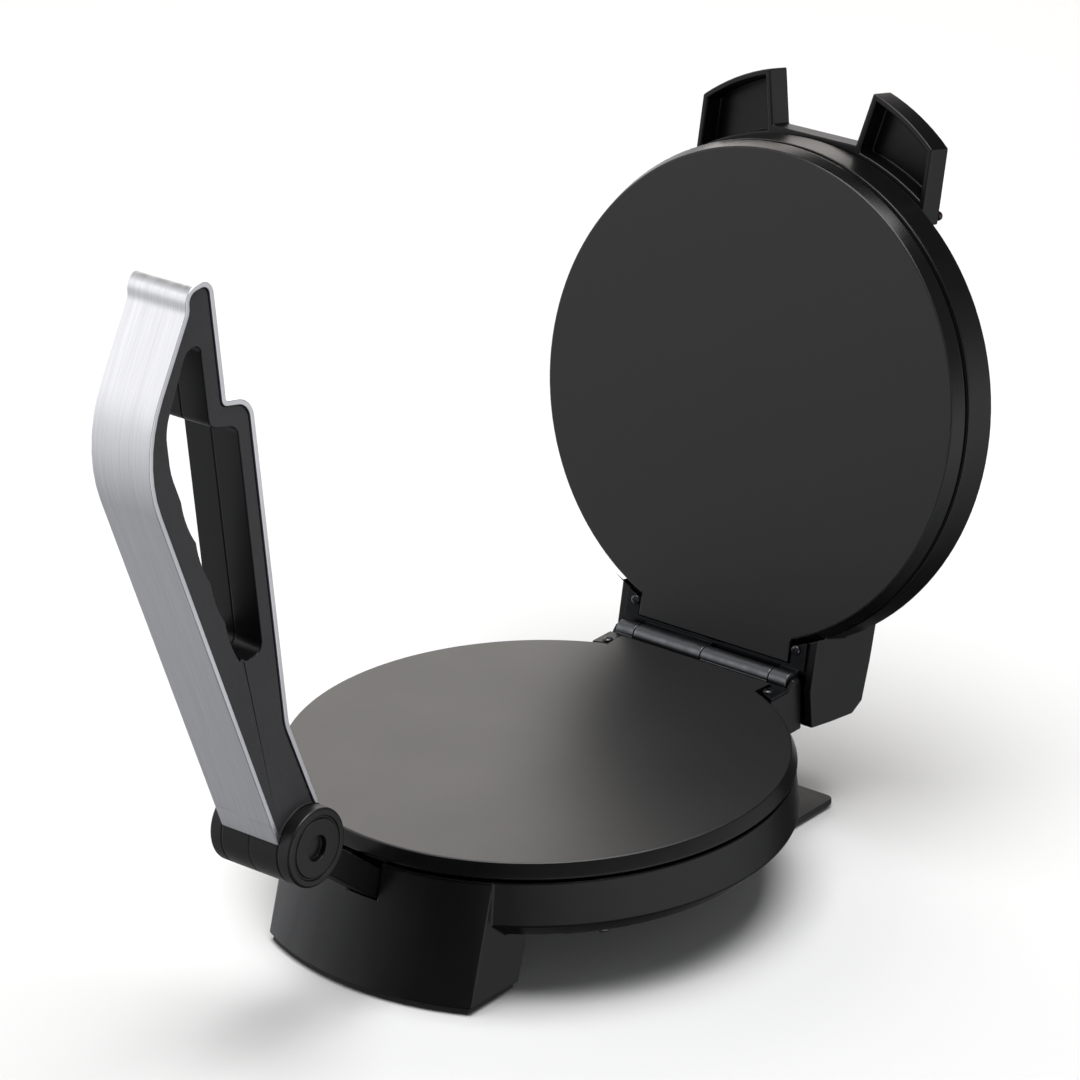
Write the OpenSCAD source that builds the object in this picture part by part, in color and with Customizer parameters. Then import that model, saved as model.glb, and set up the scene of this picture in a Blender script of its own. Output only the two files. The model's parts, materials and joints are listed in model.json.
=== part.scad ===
// Electric flatbread maker: two round hot plates joined by a rear hinge, pressed by a front lever.
// Shapes are drawn with the lid closed and the lower plate's top face at z = 0, centred on the
// plate's axis; +Y runs to the hinge. lid_pose() opens the lid, handle_pose() sets the lever, and
// placed() stands the machine on the table.

/* [Plates] */
// Diameter of the flat part of each hot plate
plate_d = 200; // [180:5:220]
// Gap between the two hot plates with the lid shut
plate_gap = 2; // [1:0.5:4]
// Thickness of each cast plate
plate_t = 4; // [3:0.5:5]
// Radius of each plate's rounded edge
plate_roll = 1; // [0.6:0.2:2]
// Half width of the straight tab at the back of each plate
tab_half_w = 38; // [34:1:40]

/* [Base] */
// Height of the lower plate's top face above the table
stand_h = 58.5; // [55:0.5:65]
// Moulded wall thickness
wall = 2.5; // [2:0.1:3]
// Half width of the front foot
foot_half_w = 51; // [45:1:55]
// Half width of the hinge tower
tower_half_w = 45.8; // [44:0.2:48]
// Half width of the rear foot plate
rear_plate_half_w = 54.5; // [50:0.5:60]

/* [Lid] */
// Angle of the open lid from shut
lid_open = 102.4; // [95:0.1:108]
// Hinge axis behind the plate's centre
hinge_y = 109.1; // [107:0.1:112]
// Hinge axis above the lower plate's face
hinge_z = -0.85; // [-2:0.05:1]
// Radius of the arc through the tips of the lid's two front prongs
prong_r = 89.5; // [86:0.5:92]
// Half width across the two prongs
prong_half_w = 57; // [50:1:60]
// Height of the lid's rear hood
hood_top = 45.4; // [42:0.2:48]

/* [Handle] */
// Handle pivot in front of the plate's centre
pivot_y = -151.8; // [-156:0.1:-148]
// Handle pivot above the lower plate's face
pivot_z = 22.6; // [20:0.1:26]
// Lean of the parked handle, outwards
handle_lean = 5.6; // [0:0.1:10]
// Width of the metal band round the handle
band_w = 28; // [24:1:30]
// Thickness of the metal band
band_t = 2; // [1.5:0.1:3]
// Radius of the pivot barrel
hub_r = 15.6; // [14:0.1:16]
// Length of the pivot barrel
hub_len = 40; // [38:1:44]

/* [Hidden] */
$fn = 96;
eps = 0.01;
big = 400;

// Shift that puts the opened machine's middle over the origin
frame_y = 14.4;

// Round parts of the base, radius and height
plate_r = plate_d / 2;
rim_r = plate_r + 2.6;
rim_z = -6.2;
base_top_z = -7.6;
base_top_r = 102;
base_wall_r = 103.6;
base_wall_z = -25.4;
base_bot_r = 96.6;
base_bot_z = -32.4;
cover_r = 94;
cover_t = 1.6;
opening_r = 83;
opening_front_y = -64;
opening_back_y = 55;

// Front foot
foot_bot_z = -56;
foot_bot_r = 115.1;
foot_back_y = -69;
foot_back_drop = 6;
pad_inset = 1.5;

// Rear leg, hinge tower and foot plate
leg_half_w = 36;
leg_front_y = 58;
leg_back_y = 108;
leg_bot_z = -55;
tower_back_y = 113;
tower_bot_z = -22;
shoulder_z = -2.4;
knuckle_bed_z = -5.4;
knuckle_bed_y = 104.5;
rear_plate_t = 2.5;
rear_plate_y = [72, 125];
foot_screw_xy = [30, 66, 100];
gland_z = -44;

// Screws: shank radius, head radius, head height
screw_r = 1.5;
head_r = 3;
head_h = 2;
hole_gap = 0.15;
post_r = 89;
post_angle = 26;
cover_screw_r = 90.3;
cover_screw_angle = 35;

// Hinge
knuckle_r = 4.2;
pin_r = 1.5;
running = 0.05;
leaf_t = 1.4;
leaf_half_w = 45.8;
knuckle_half_w = 43.4;
knuckle_split = 34.5;
knuckle_gap = 0.2;
leaf_lower_z = shoulder_z;
leaf_upper_z = plate_gap + 1;
leaf_front_y = 102.8;
leaf_screw = [41, 96.8];
leaf_head_r = 2.1;

// Heating parts
element_r = 62;
element_tube = 3.2;
element_gap = 40;
shield_z = 15.4;
shield_t = 0.6;
shield_r = 88;

// Lid
lid_rim_z = 9.6;
lid_wall_z = 24;
lid_wall_r = 104.2;
lid_top_r = 88;
lid_top_z = 38.2;
lid_crown_z = 42;
prong_z = [25.5, 37.4];
prong_arc_y = -42;
prong_gap_base = 20.5;
prong_gap_tip = 26.5;
lid_front_r = 105.5;
hood_half_w = 50;
hood_in_half_w = 46.5;
web_z = 4.4;
lens_x = 54.8;
lens_y = -83;
lens_r = 2;

// Handle: corners of the grip's side outline as [across, along, corner radius], with the pivot at 0, 0
grip_outline = [
    [10, 5, 0.5], [-3.4, 52, 20], [-3.4, 184, 8], [-16.5, 188.2, 3], [-16.5, 236, 4],
    [-27, 236, 4], [-27, 229.5, 8], [-58.6, 184.3, 51], [-10.4, 0, 0.5]];
grip_opening = [
    [-9.7, 86.5, 4], [-9.7, 177.2, 5], [-23.3, 182.5, 4], [-23.3, 215.5, 3.5],
    [-30.5, 215.5, 5], [-44.8, 191, 20], [-44.8, 174, 25], [-21.5, 86.5, 7]];
scallops = 4;
scallop_r = 42;
scallop_pitch = 19;
scallop_start = [-21.9, 88];
scallop_lean = 14.9;
shell_half_w = 13.2;
grip_screws = [[-13, 50], [-17.5, 76], [-21.8, 225]];
axle_r = 3;
arm_half_w = 7;
arm_t = 11;
arm_drop = 38.8;
arm_hub_r = 12;
arm_reach = (-98 - pivot_y) / cos(arm_drop);
slot_half_w = 7.6;
slot_hub_r = 12.6;
slot_from = -67;
slot_to = 71;
cap_groove_r = [11.6, 12.6];
cap_hole_r = 5;

// Colours
black_plastic = "#1b1b1d";
dark_insert = "#48484a";
coating = "#4a4948";
steel = "#b9babd";
rubber = "#141414";
tin = "#9a9c9f";
ceramic = "#d8d4c8";

// ---- helpers ----

function outward(v) = [v[1], -v[0]] / norm(v);
function xy(c) = [c[0], c[1]];
function wrap(list, i) = list[(i + len(list)) % len(list)];

// Moves a closed outline, listed anticlockwise, outwards by d and keeps its corners concentric
function grown(path, d) = [for (i = [0:len(path) - 1])
    let (before = xy(wrap(path, i - 1)), here = xy(path[i]), after = xy(wrap(path, i + 1)))
    let (n1 = outward(here - before), n2 = outward(after - here))
    let (bend = cross(here - before, after - here) > 0 ? 1 : -1)
    concat(here + d * (n1 + n2) / (1 + n1 * n2), [max(0.2, path[i][2] + bend * d)])];

// Points of a closed outline with each corner turned into an arc of its own radius
function rounded(path) = [for (i = [0:len(path) - 1])
    let (here = xy(path[i]), r = path[i][2])
    let (u = xy(wrap(path, i - 1)) - here, v = xy(wrap(path, i + 1)) - here)
    let (a = u / norm(u), b = v / norm(v), half = acos(a * b) / 2)
    let (centre = here + (a + b) / norm(a + b) * r / sin(half))
    let (start = here + a * r / tan(half) - centre, stop = here + b * r / tan(half) - centre)
    let (from = atan2(start[1], start[0]), turn = atan2(cross(start, stop), start * stop))
    let (steps = max(2, ceil(abs(turn) / 7.5)))
    for (k = [0:steps]) centre + r * [cos(from + turn * k / steps), sin(from + turn * k / steps)]];

module placed() {
    translate([0, frame_y, stand_h]) children();
}

module lid_pose() {
    placed() translate([0, hinge_y, hinge_z]) rotate([-lid_open, 0, 0])
        translate([0, -hinge_y, -hinge_z]) children();
}

// Handle frame: x across the machine, y across the grip, z along the grip, pivot at the origin
module handle_pose() {
    placed() translate([0, pivot_y, pivot_z]) rotate([handle_lean, 0, 0]) children();
}

// Extrudes a side view, drawn as [y, z], between two x values
module side_prism(x0, x1) {
    translate([x0, 0, 0]) rotate([90, 0, 90]) linear_extrude(x1 - x0) children();
}

module x_cylinder(r, x0, x1) {
    translate([x0, 0, 0]) rotate([0, 90, 0]) cylinder(r = r, h = x1 - x0);
}

module mirrored_x() {
    children();
    mirror([1, 0, 0]) children();
}

module box(low, high) {
    translate(low) cube(high - low);
}

// Four places on a circle, alike front to back and side to side
module four_places(r, angle) {
    for (a = [angle, 180 - angle, 180 + angle, -angle]) rotate([0, 0, a]) translate([r, 0, 0]) children();
}

// Pan-head screw with a cross recess, head down at z = 0, shank up
module screw(length, r = screw_r, hr = head_r, hh = head_h) {
    difference() {
        union() {
            translate([0, 0, -hh]) cylinder(r = hr, h = hh);
            translate([0, 0, -eps]) cylinder(r = r, h = length + eps);
        }
        for (a = [0, 90]) rotate([0, 0, a])
            translate([-hr * 0.6, -0.35, -hh - eps]) cube([hr * 1.2, 0.7, hh / 2]);
    }
}

// ---- plates and heaters, drawn face up with the face at z = 0 ----

module hot_plate() {
    difference() {
        union() {
            rotate_extrude() polygon(concat(
                [[0, -plate_t], [0, 0]],
                [for (a = [90:-10:20]) [plate_r - 0.4, -plate_roll] + plate_roll * [cos(a), sin(a)]],
                [[rim_r, rim_z + 1], [rim_r, rim_z], [rim_r - 3.4, rim_z], [rim_r - 3.4, -plate_t]]));
            box([-tab_half_w, plate_r - 12, -plate_t], [tab_half_w, leaf_front_y - 0.5, 0]);
            translate([0, 0, -9]) difference() {
                cylinder(r = element_r + 6, h = 9 - plate_t + eps);
                translate([0, 0, -eps]) cylinder(r = element_r - 6, h = 9);
            }
            four_places(post_r, post_angle) translate([0, 0, -14]) cylinder(r = 4, h = 14 - plate_t + eps);
        }
        box([-big, leaf_front_y - 0.5, -20], [big, big, 1]);
        translate([0, 0, -9.15]) rotate_extrude() translate([element_r, 0]) circle(element_tube + hole_gap);
        four_places(post_r, post_angle) translate([0, 0, -15]) cylinder(r = screw_r, h = 9);
    }
}

module heating_element() {
    half = element_gap / 2;
    translate([0, 0, -9.15]) {
        rotate([0, 0, 90 + half]) rotate_extrude(angle = 360 - element_gap)
            translate([element_r, 0]) circle(element_tube);
        for (a = [90 - half, 90 + half]) rotate([0, 0, a]) translate([element_r, 0, 0]) {
            sphere(element_tube);
            translate([0, 0, -10]) cylinder(r = element_tube, h = 10);
            translate([0, 0, -13]) cylinder(r = 1.3, h = 4);
        }
    }
}

module heat_shield() {
    half = element_gap / 2;
    difference() {
        translate([0, 0, -shield_z]) union() {
            cylinder(r = shield_r, h = shield_t);
            difference() {
                cylinder(r = shield_r, h = 5);
                translate([0, 0, -eps]) cylinder(r = shield_r - shield_t, h = 6);
            }
        }
        translate([0, 0, -shield_z - 1]) cylinder(r = 13, h = 3);
        four_places(post_r, post_angle) translate([0, 0, -20]) cylinder(r = 6, h = 20);
        for (a = [90 - half, 90 + half]) rotate([0, 0, a])
            translate([element_r, 0, -shield_z - 1]) cylinder(r = 5, h = 3);
    }
}

module thermostat() {
    translate([0, 0, -plate_t - 1.5]) cylinder(r = 9, h = 1.5);
    translate([0, 0, -plate_t - 9.5]) cylinder(r = 8.4, h = 8);
    difference() {
        box([-14, -4, -plate_t - 2.3], [14, 4, -plate_t - 1.5]);
        translate([0, 0, -plate_t - 3]) cylinder(r = 8.4, h = 3);
    }
    for (x = [-5, 5]) box([x - 0.4, -3.2, -plate_t - 17], [x + 0.4, 3.2, -plate_t - 9.5]);
}

module plate_screw_set() {
    four_places(post_r, post_angle) translate([0, 0, -28]) screw(21);
}

// ---- base ----

module base_outer() {
    rotate_extrude() polygon([[0, base_top_z], [base_top_r - 0.6, base_top_z],
        [base_top_r, base_top_z - 0.6], [base_wall_r, base_wall_z], [base_bot_r, base_bot_z],
        [0, base_bot_z]]);
}

module base_inner() {
    rotate_extrude() polygon([[0, base_top_z + 1], [base_top_r - wall, base_top_z + 1],
        [base_top_r - wall, base_top_z - 1], [base_wall_r - wall - 0.4, base_wall_z + 1],
        [base_bot_r - 1.4, base_bot_z + 2.2], [0, base_bot_z + 2.2]]);
}

// Front foot: a flared slice of a cone, drawn smaller by inset and reaching down to bottom_z
module foot_block(inset, top_z, bottom_z) {
    slope = (foot_bot_r - base_top_r) / (base_top_z - foot_bot_z);
    r_at_bottom = base_top_r - inset + (base_top_z - bottom_z) * slope;
    r_at_top = base_top_r - inset + (base_top_z - top_z) * slope;
    intersection() {
        rotate_extrude() polygon([[0, top_z], [r_at_top, top_z], [r_at_bottom, bottom_z], [0, bottom_z]]);
        side_prism(-foot_half_w + inset, foot_half_w - inset) polygon([
            [-big, top_z + 1], [foot_back_y - inset, top_z + 1], [foot_back_y - inset, base_bot_z - 6],
            [foot_back_y - foot_back_drop - inset, bottom_z - 1], [-big, bottom_z - 1]]);
    }
}

module tower_outer() {
    box([-tower_half_w, 80, tower_bot_z], [tower_half_w, tower_back_y, -6.8]);
    box([-tower_half_w, 99, -7.5], [tower_half_w, tower_back_y, knuckle_bed_z]);
    box([-knuckle_half_w, leaf_front_y - 0.2, -7], [knuckle_half_w, knuckle_bed_y, shoulder_z]);
    mirrored_x() box([tab_half_w + 0.8, 92, -7], [tower_half_w, knuckle_bed_y, shoulder_z]);
    mirrored_x() side_prism(knuckle_half_w + 0.2, tower_half_w) polygon([[99, -7], [tower_back_y, -7],
        [tower_back_y, -1.2], [111.4, 1.2], [108, 1.2], [104.4, shoulder_z], [99, shoulder_z]]);
}

module base_housing() {
    color(black_plastic) placed() difference() {
        union() {
            difference() {
                union() {
                    base_outer();
                    foot_block(0, base_top_z - 0.6, foot_bot_z);
                    tower_outer();
                    box([-leg_half_w, leg_front_y, leg_bot_z], [leg_half_w, leg_back_y, tower_bot_z + 1]);
                }
                base_inner();
                difference() {
                    foot_block(wall, base_top_z - 4, foot_bot_z - 1);
                    base_outer();
                }
                box([-leg_half_w + wall, leg_front_y + wall, leg_bot_z - 1],
                    [leg_half_w - wall, leg_back_y - wall, base_bot_z - 2]);
                box([-tower_half_w + wall, 95, tower_bot_z + wall], [tower_half_w - wall, tower_back_y - wall, -7.4]);
                difference() {
                    translate([0, 0, base_bot_z - 1]) cylinder(r = opening_r, h = 4);
                    box([-big, -big, -big], [big, opening_front_y, big]);
                    box([-big, opening_back_y, -big], [big, big, big]);
                }
            }
            four_places(post_r, post_angle) translate([0, 0, base_bot_z]) cylinder(r = 4.6, h = -14.1 - base_bot_z);
            four_places(cover_screw_r, cover_screw_angle) translate([0, 0, base_bot_z]) cylinder(r = 3.4, h = 10);
            for (x = [-1, 1], y = [foot_screw_xy[1], foot_screw_xy[2]])
                translate([x * foot_screw_xy[0], y, leg_bot_z]) cylinder(r = 4.2, h = 14);
        }
        difference() {
            translate([0, 0, rim_z - 1.6]) cylinder(r = rim_r + 0.5, h = 20);
            box([-big, leaf_front_y - 0.3, -big], [big, big, big]);
        }
        four_places(post_r, post_angle) translate([0, 0, base_bot_z - 1]) {
            cylinder(r = screw_r + hole_gap, h = 20);
            cylinder(r = head_r + 0.4, h = 5.4);
        }
        four_places(cover_screw_r, cover_screw_angle) translate([0, 0, base_bot_z - 1]) cylinder(r = screw_r, h = 9);
        for (x = [-1, 1], y = [foot_screw_xy[1], foot_screw_xy[2]])
            translate([x * foot_screw_xy[0], y, leg_bot_z - 1]) cylinder(r = screw_r, h = 11);
        for (x = [-1, 1]) translate([x * leaf_screw[0], leaf_screw[1], shoulder_z - 9])
            cylinder(r = screw_r, h = 10);
        translate([0, pivot_y, pivot_z]) rotate([-arm_drop, 0, 0])
            box([-arm_half_w - 0.3, 40, -arm_t / 2 - 0.3], [arm_half_w + 0.3, arm_reach + 4, 60]);
        for (x = [-1, 1]) translate([x * 12, -92, -19]) rotate([90, 0, 0]) cylinder(r = screw_r, h = 9.6);
        translate([0, leg_back_y + 1, gland_z]) rotate([90, 0, 0]) cylinder(r = 6.5, h = 6);
    }
}

module base_cover() {
    color(black_plastic) placed() difference() {
        intersection() {
            translate([0, 0, base_bot_z - cover_t]) cylinder(r = cover_r, h = cover_t);
            box([-big, opening_front_y - 2, -big], [big, opening_back_y + 2, big]);
        }
        four_places(cover_screw_r, cover_screw_angle) translate([0, 0, base_bot_z - 3])
            cylinder(r = screw_r + hole_gap, h = 4);
        for (x = [-36:12:36]) box([x - 2, -22, -big], [x + 2, 22, big]);
        four_places(post_r, post_angle) translate([0, 0, base_bot_z - 3]) cylinder(r = head_r + 0.4, h = 4);
    }
}

module base_cover_screws() {
    color(steel) placed() four_places(cover_screw_r, cover_screw_angle)
        translate([0, 0, base_bot_z - cover_t]) screw(8);
}

module lower_plate() {
    color(coating) placed() hot_plate();
}

module lower_plate_screws() {
    color(steel) placed() plate_screw_set();
}

module lower_heating_element() {
    color(tin) placed() heating_element();
}

module lower_heat_shield() {
    color(tin) placed() heat_shield();
}

module lower_thermostat() {
    color(ceramic) placed() thermostat();
}

module thermal_fuse() {
    color(steel) placed() translate([0, 32, -18.4]) {
        x_cylinder(2, -6, 6);
        x_cylinder(0.6, -16, 16);
        box([-2, -3, 1.9], [2, 3, 2.4]);
    }
}

module terminal_block() {
    color(ceramic) placed() translate([0, 44, base_bot_z]) difference() {
        box([-16, -8, 0], [16, 8, 9]);
        for (x = [-10, 0, 10]) {
            translate([x, 0, 3]) cylinder(r = 2, h = 10);
            translate([x, 10, 4.5]) rotate([90, 0, 0]) cylinder(r = 1.4, h = 20);
        }
    }
}

module cord_gland() {
    color(rubber) placed() translate([0, leg_back_y, gland_z]) rotate([-90, 0, 0]) difference() {
        union() {
            translate([0, 0, -wall - 2]) cylinder(r = 8, h = 2);
            translate([0, 0, -wall]) cylinder(r = 6.4, h = wall + eps);
            cylinder(r = 9, h = 2);
            translate([0, 0, 2]) cylinder(r1 = 7, r2 = 5.4, h = 9);
        }
        translate([0, 0, -6]) cylinder(r = 3.4, h = 20);
    }
}

module front_foot_pad() {
    color(rubber) placed() foot_block(pad_inset, foot_bot_z, -stand_h);
}

module rear_plate_outline() {
    r = 4;
    y0 = rear_plate_y[0];
    y1 = rear_plate_y[1];
    for (x = [-rear_plate_half_w + r, rear_plate_half_w - r], y = [y0 + r, y1 - r]) translate([x, y]) circle(r);
    translate([-rear_plate_half_w, y0 + r]) square([2 * rear_plate_half_w, y1 - y0 - 2 * r]);
    translate([-rear_plate_half_w + r, y0]) square([2 * (rear_plate_half_w - r), y1 - y0]);
}

module rear_foot_plate() {
    color(black_plastic) placed() difference() {
        translate([0, 0, leg_bot_z - rear_plate_t]) linear_extrude(rear_plate_t) rear_plate_outline();
        for (x = [-1, 1], y = [foot_screw_xy[1] + 8, foot_screw_xy[2]])
            translate([x * foot_screw_xy[0], y, leg_bot_z - 4]) {
                cylinder(r = screw_r + hole_gap, h = 5);
                cylinder(r = head_r + 0.3, h = 2.9);
            }
    }
}

module rear_foot_screws() {
    color(steel) placed() for (x = [-1, 1], y = [foot_screw_xy[1] + 8, foot_screw_xy[2]])
        translate([x * foot_screw_xy[0], y, leg_bot_z - 1.1]) screw(10, hh = 1.2);
}

module rear_foot_pads() {
    color(rubber) placed() for (x = [-1, 1], y = [rear_plate_y[0] + 10, rear_plate_y[1] - 10])
        translate([x * 44, y, -stand_h]) cylinder(r = 7, h = stand_h + leg_bot_z - rear_plate_t);
}

// ---- hinge ----

// Knuckles between pairs of x values, bored for the pin
module knuckles(spans, bore_r) {
    for (s = spans) translate([0, hinge_y, hinge_z]) difference() {
        x_cylinder(knuckle_r, s[0], s[1]);
        x_cylinder(bore_r, s[0] - 1, s[1] + 1);
    }
}

// Flat strip and two wings of a leaf, between z0 and z0 + leaf_t, clear of the round plate
module leaf_flat(z0) {
    difference() {
        union() {
            box([-leaf_half_w, leaf_front_y, z0], [leaf_half_w, knuckle_bed_y, z0 + leaf_t]);
            mirrored_x() box([tab_half_w + 0.8, 92.6, z0], [leaf_half_w, knuckle_bed_y, z0 + leaf_t]);
        }
        translate([0, 0, z0 - 1]) cylinder(r = rim_r + 0.4, h = 4);
        for (x = [-1, 1]) translate([x * leaf_screw[0], leaf_screw[1], z0 - 1])
            cylinder(r = screw_r + hole_gap, h = 4);
    }
}

lower_spans = [[-knuckle_half_w, -knuckle_split - knuckle_gap], [knuckle_gap, knuckle_split - knuckle_gap]];
upper_spans = [[-knuckle_split + knuckle_gap, -knuckle_gap], [knuckle_split + knuckle_gap, knuckle_half_w]];

module lower_hinge_leaf() {
    color(steel) placed() {
        difference() {
            union() {
                leaf_flat(leaf_lower_z);
                for (s = lower_spans)
                    box([s[0], knuckle_bed_y - eps, leaf_lower_z], [s[1], hinge_y, leaf_lower_z + leaf_t]);
            }
            translate([0, hinge_y, hinge_z]) x_cylinder(knuckle_r - 0.5, -big, big);
        }
        knuckles(lower_spans, pin_r);
    }
}

module upper_hinge_leaf() {
    color(steel) lid_pose() {
        difference() {
            union() {
                leaf_flat(leaf_upper_z);
                for (s = upper_spans) side_prism(s[0], s[1]) polygon([
                    [knuckle_bed_y - eps, leaf_upper_z], [hinge_y - 3, hinge_z], [hinge_y, hinge_z],
                    [hinge_y + 2.6, hinge_z + 2.3], [hinge_y - 1, leaf_upper_z + leaf_t],
                    [knuckle_bed_y - eps, leaf_upper_z + leaf_t]]);
            }
            translate([0, hinge_y, hinge_z]) x_cylinder(knuckle_r - 0.5, -big, big);
        }
        knuckles(upper_spans, pin_r + running);
    }
}

module hinge_pin() {
    color(steel) placed() translate([0, hinge_y, hinge_z]) x_cylinder(pin_r, -knuckle_half_w, knuckle_half_w);
}

module lower_hinge_screws() {
    color(steel) placed() for (x = [-1, 1])
        translate([x * leaf_screw[0], leaf_screw[1], leaf_lower_z + leaf_t])
        rotate([180, 0, 0]) screw(8, hr = leaf_head_r, hh = 1.2);
}

module upper_hinge_screws() {
    color(steel) lid_pose() for (x = [-1, 1])
        translate([x * leaf_screw[0], leaf_screw[1], leaf_upper_z]) screw(8, hr = leaf_head_r, hh = 1.2);
}

// ---- lid ----

module upper_face() {
    lid_pose() translate([0, 0, plate_gap]) mirror([0, 0, 1]) children();
}

module lid_outer() {
    rotate_extrude() polygon([[0, lid_rim_z], [102.2, lid_rim_z], [103, lid_rim_z + 0.8],
        [lid_wall_r, lid_wall_z], [93, 36.6], [lid_top_r, lid_top_z], [0, lid_crown_z]]);
}

module lid_inner() {
    rotate_extrude() polygon([[0, lid_rim_z - 1], [99.8, lid_rim_z - 1], [lid_wall_r - wall, lid_wall_z - 1],
        [91.6, 34.2], [lid_top_r - 0.5, lid_top_z - wall], [0, lid_crown_z - wall]]);
}

// Plan view of one prong, on the +x side, drawn smaller by inset
module prong_plan(inset) {
    intersection() {
        translate([0, prong_arc_y]) circle(prong_r - inset);
        polygon([[prong_gap_base + inset, -80], [prong_gap_base + inset, -105],
            [prong_gap_tip + inset, prong_arc_y - prong_r], [prong_gap_tip + inset, -big],
            [prong_half_w - inset, -big], [prong_half_w - inset, -80]]);
    }
}

module prong_set() {
    difference() {
        union() {
            translate([0, 0, prong_z[0]]) linear_extrude(prong_z[1] - prong_z[0]) mirrored_x() prong_plan(0);
            intersection() {
                translate([0, 0, prong_z[0]]) cylinder(r = lid_front_r, h = prong_z[1] - prong_z[0]);
                box([-prong_half_w, -big, 0], [prong_half_w, -80, big]);
            }
            box([-prong_gap_base - 2, -lid_front_r, prong_z[0]], [prong_gap_base + 2, -90, prong_z[1]]);
        }
        translate([0, 0, prong_z[0] - 1]) linear_extrude(prong_z[1] - prong_z[0] - wall + 1) difference() {
            mirrored_x() prong_plan(wall);
            circle(lid_front_r);
        }
    }
}

module hood_outer() {
    side_prism(-hood_half_w, hood_half_w) polygon([[90, web_z], [112, web_z], [128, 9], [127.2, 22],
        [125.8, 37], [121, 42.8], [104, hood_top - 0.8], [86, hood_top], [78, 38], [78, 30], [90, 30]]);
}

module hood_inner() {
    side_prism(-hood_in_half_w, hood_in_half_w) polygon([[106.6, 0], [131, 0], [125.4, 9.4], [124.7, 22],
        [123.4, 36], [119.6, 40.3], [106.6, 42]]);
}

module lid_housing() {
    color(black_plastic) lid_pose() difference() {
        union() {
            difference() {
                union() {
                    lid_outer();
                    prong_set();
                    hood_outer();
                }
                lid_inner();
                hood_inner();
            }
            intersection() {
                translate([0, 0, -1]) lid_outer();
                four_places(post_r, post_angle) translate([0, 0, plate_gap + 14.1]) cylinder(r = 4.6, h = 21);
            }
        }
        difference() {
            translate([0, 0, -10]) cylinder(r = rim_r + 0.4, h = 10 + plate_gap - rim_z + 0.6);
            box([-big, leaf_front_y + 0.2, -big], [big, big, big]);
        }
        box([-tab_half_w - 0.6, 80, 0], [tab_half_w + 0.6, leaf_front_y, plate_gap - rim_z + 0.6]);
        four_places(post_r, post_angle) translate([0, 0, plate_gap + 14]) cylinder(r = screw_r, h = 14);
        for (x = [-1, 1]) translate([x * leaf_screw[0], leaf_screw[1], web_z - 1]) cylinder(r = screw_r, h = 9);
        for (x = [-1, 1]) translate([x * lens_x, lens_y, 30]) cylinder(r = lens_r - 0.3, h = 10);
    }
}

module upper_plate() {
    color(coating) upper_face() hot_plate();
}

module upper_plate_screws() {
    color(steel) lid_pose() four_places(post_r, post_angle) translate([0, 0, 9.4])
        cylinder(r = screw_r - 0.1, h = 17);
}

module upper_heating_element() {
    color(tin) upper_face() heating_element();
}

module upper_heat_shield() {
    color(tin) upper_face() heat_shield();
}

module upper_thermostat() {
    color(ceramic) upper_face() thermostat();
}

// Small domed lamp lens on the lid's top, above one prong
module lamp_lens(side) {
    lid_pose() translate([side * lens_x, lens_y, 0]) {
        translate([0, 0, 33]) cylinder(r = lens_r - 0.4, h = 6);
        translate([0, 0, prong_z[1]]) cylinder(r = lens_r, h = 2.4);
        translate([0, 0, prong_z[1] + 2.4]) intersection() {
            sphere(lens_r);
            translate([0, 0, -eps]) cylinder(r = 3, h = 3);
        }
    }
}

module power_lens() {
    color("#c81e1e") lamp_lens(1);
}

module ready_lens() {
    color("#2a9a3c") lamp_lens(-1);
}

// ---- handle ----

// Side view of the finger scallops along the grip opening's outer edge
module scallop_row() {
    half = scallop_pitch / 2;
    translate(scallop_start) rotate(90 + scallop_lean) for (k = [0:scallops - 1])
        translate([(k + 0.5) * scallop_pitch, 0]) intersection() {
            translate([0, -sqrt(pow(scallop_r, 2) - pow(half, 2))]) circle(scallop_r);
            translate([-half, -1]) square([scallop_pitch, 5]);
        }
}

module grip_side(from_x, to_x) {
    side_prism(from_x, to_x) difference() {
        union() {
            polygon(rounded(grown(grip_outline, -0.05)));
            circle(hub_r);
        }
        polygon(rounded(grip_opening));
        scallop_row();
    }
}

// Space inside the pivot barrel that the fixed arm moves in
module arm_slot() {
    rotate([-handle_lean, 0, 0]) {
        x_cylinder(slot_hub_r, -slot_half_w, slot_half_w);
        side_prism(-slot_half_w, slot_half_w) polygon([[0, 0],
            40 * [cos(slot_from), sin(slot_from)], [60, 0], 40 * [cos(slot_to), sin(slot_to)]]);
    }
}

module grip_screw_holes() {
    for (s = grip_screws) translate([0, s[0], s[1]]) {
        x_cylinder(screw_r, -12, 10);
        x_cylinder(head_r + 0.2, -20, -9);
    }
}

module handle_shell(from_x, to_x, hub_from, hub_to) {
    difference() {
        union() {
            grip_side(from_x, to_x);
            x_cylinder(hub_r, hub_from, hub_to);
        }
        arm_slot();
        x_cylinder(axle_r + running, -big, big);
        grip_screw_holes();
    }
}

module handle_left_shell() {
    color(dark_insert) handle_pose() handle_shell(-shell_half_w, 0, -band_w / 2, 0);
}

module handle_right_shell() {
    color(dark_insert) handle_pose() handle_shell(0, shell_half_w, 0, band_w / 2);
}

module handle_band() {
    color(steel) handle_pose() difference() {
        side_prism(-band_w / 2, band_w / 2) difference() {
            polygon(rounded(grown(grip_outline, band_t)));
            polygon(rounded(grip_outline));
            circle(hub_r);
        }
        arm_slot();
    }
}

module handle_screws() {
    color(steel) handle_pose() for (s = grip_screws)
        translate([-9, s[0], s[1]]) rotate([0, 90, 0]) screw(18);
}

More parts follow.
